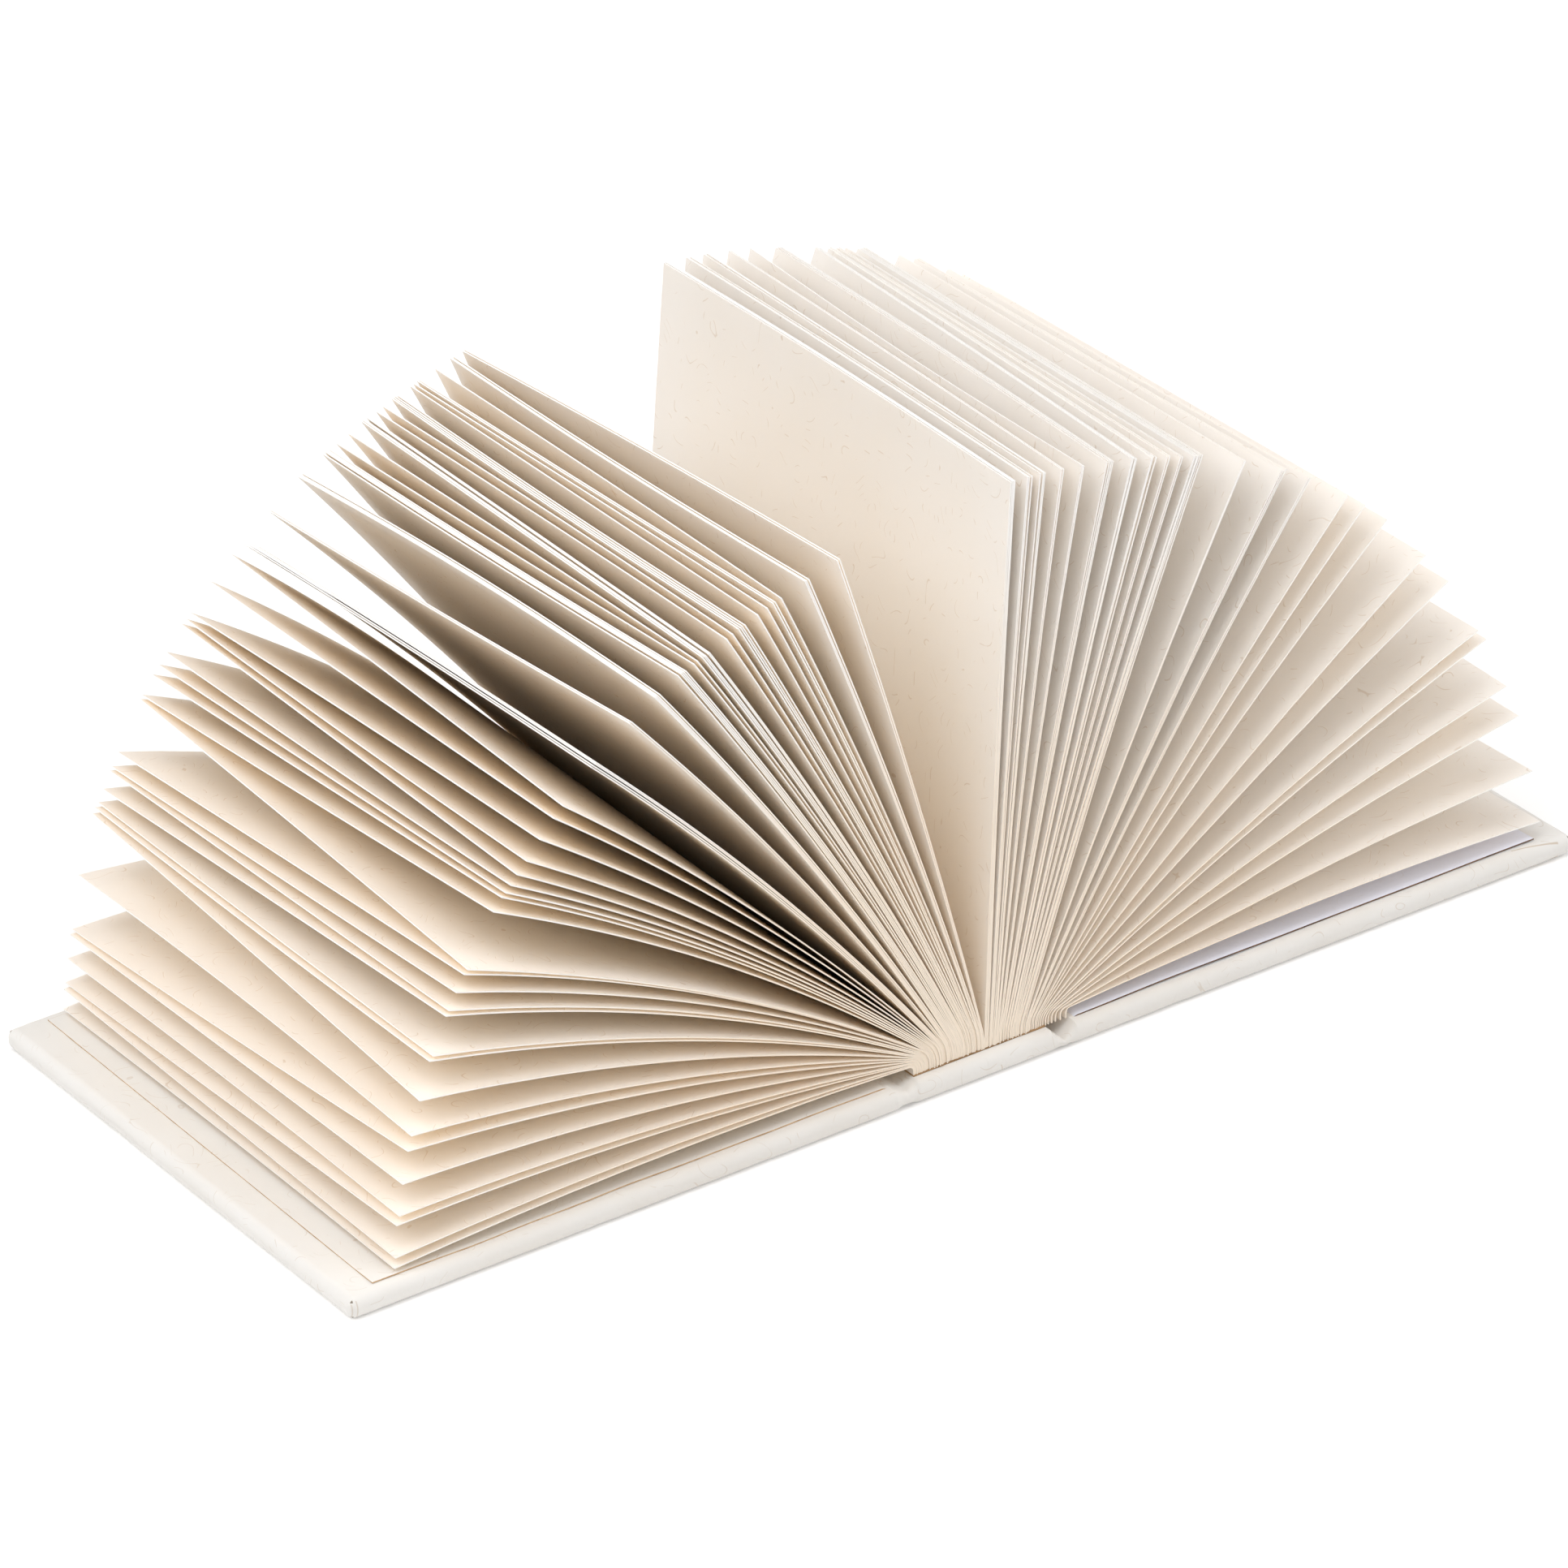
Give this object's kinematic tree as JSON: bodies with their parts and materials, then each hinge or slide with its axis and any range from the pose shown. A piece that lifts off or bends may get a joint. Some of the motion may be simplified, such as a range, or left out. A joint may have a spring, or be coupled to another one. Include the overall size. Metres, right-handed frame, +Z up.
{
  "type": "notepad",
  "caption": "Square hard-cover notepad lying open, with paper-wrapped board covers hinged on a flat spine and loose leaves fanned out from their glued back.",
  "frame": {"origin": "on the table, under the middle of the spine", "axes": "+X across the open pad towards the back cover, +Y along the spine away from the viewer, +Z up"},
  "size_m": [0.1814, 0.0786, 0.0779],
  "materials": {
    "board": "plain grey-brown binder's board, hidden inside the wrap",
    "cover_paper": "uncoated ivory paper with short tan plant fibres",
    "page_paper": "uncoated ivory paper with short tan plant fibres",
    "white_paper": "plain cool white paper",
    "lining": "brown glued lining"
  },
  "bodies": {
    "spine": {"spine_board": "board", "spine_wrap": "cover_paper", "spine_lining": "lining", "page_block": "page_paper"},
    "front_cover": {"front_board": "board", "front_wrap": "cover_paper", "front_pastedown": "page_paper"},
    "back_cover": {"back_board": "board", "back_wrap": "cover_paper", "back_pastedown": "white_paper"}
  },
  "joints": [
    {"name": "front_cover_hinge", "type": "hinge", "parent": "spine", "child": "front_cover", "pos_m": [-0.01162, 0, 0.0015], "axis": [0, 1, 0], "range_deg": [-90, 90], "deforming": ["page_block"]},
    {"name": "back_cover_hinge", "type": "hinge", "parent": "spine", "child": "back_cover", "pos_m": [0.01162, 0, 0.0015], "axis": [0, -1, 0], "range_deg": [-90, 90], "deforming": ["page_block"]}
  ]
}
